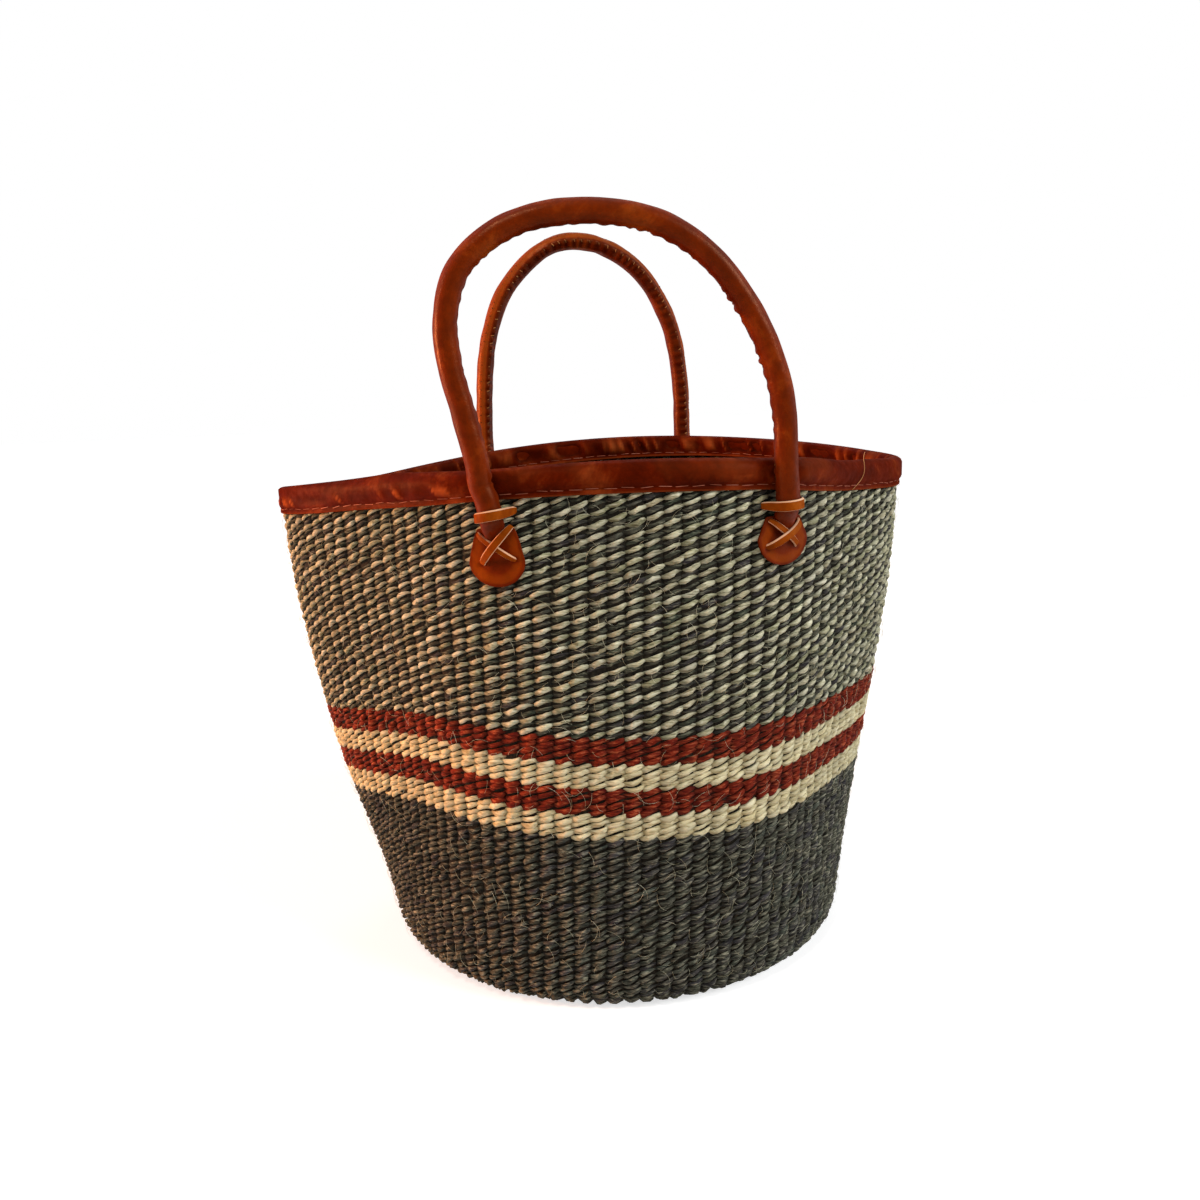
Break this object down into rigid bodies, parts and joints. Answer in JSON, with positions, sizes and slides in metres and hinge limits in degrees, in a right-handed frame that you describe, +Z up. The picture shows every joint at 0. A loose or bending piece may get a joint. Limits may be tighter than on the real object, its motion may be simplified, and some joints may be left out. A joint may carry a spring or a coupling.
{
  "type": "kiondo basket",
  "caption": "Twined sisal market basket with striped bands, a leather-bound oval mouth and two swinging tubular leather handles held by keepers and laced patches.",
  "frame": {"origin": "middle of the round base, on the floor", "axes": "+Z up, +X along the mouth's long side, -Y towards the front handle"},
  "size_m": [0.3717, 0.2943, 0.4299],
  "materials": {
    "grey_sisal": "dark grey twined sisal",
    "mottled_sisal": "twined sisal, one pale and one dark strand",
    "red_sisal": "brick red twined sisal",
    "cream_sisal": "cream twined sisal",
    "rope_sisal": "undyed sisal rope",
    "rim_leather": "waxed brown leather with a running stitch",
    "handle_leather": "smooth waxed brown leather",
    "patch_leather": "thick orange-brown leather with a darker edge",
    "lace_leather": "thin orange-brown leather with pale cut edges"
  },
  "bodies": {
    "root": {"base_disc": "grey_sisal", "grey_band": "grey_sisal", "cream_band_lower": "cream_sisal", "red_band_lower": "red_sisal", "cream_band_upper": "cream_sisal", "red_band_upper": "red_sisal", "mottled_band": "mottled_sisal", "rim_roll": "rope_sisal", "rim_binding": "rim_leather", "front_left_handle_end": "handle_leather", "front_left_rope_end": "rope_sisal", "front_left_keeper": "lace_leather", "front_left_patch": "patch_leather", "front_left_lace_under": "lace_leather", "front_left_lace_over": "lace_leather", "front_left_inner_tie": "lace_leather", "front_right_handle_end": "handle_leather", "front_right_rope_end": "rope_sisal", "front_right_keeper": "lace_leather", "front_right_patch": "patch_leather", "front_right_lace_under": "lace_leather", "front_right_lace_over": "lace_leather", "front_right_inner_tie": "lace_leather", "back_left_handle_end": "handle_leather", "back_left_rope_end": "rope_sisal", "back_left_keeper": "lace_leather", "back_left_patch": "patch_leather", "back_left_lace_under": "lace_leather", "back_left_lace_over": "lace_leather", "back_left_inner_tie": "lace_leather", "back_right_handle_end": "handle_leather", "back_right_rope_end": "rope_sisal", "back_right_keeper": "lace_leather", "back_right_patch": "patch_leather", "back_right_lace_under": "lace_leather", "back_right_lace_over": "lace_leather", "back_right_inner_tie": "lace_leather"},
    "front_handle": {"front_handle_sleeve": "handle_leather", "front_handle_rope": "rope_sisal"},
    "back_handle": {"back_handle_sleeve": "handle_leather", "back_handle_rope": "rope_sisal"}
  },
  "joints": [
    {"name": "front_handle_swing", "type": "hinge", "parent": "root", "child": "front_handle", "pos_m": [0, -0.13333, 0.28773], "axis": [1, 0, 0], "range_deg": [-65, 90]},
    {"name": "back_handle_swing", "type": "hinge", "parent": "root", "child": "back_handle", "pos_m": [0, 0.14852, 0.29074], "axis": [-1, 0, 0], "range_deg": [-65, 90]}
  ]
}
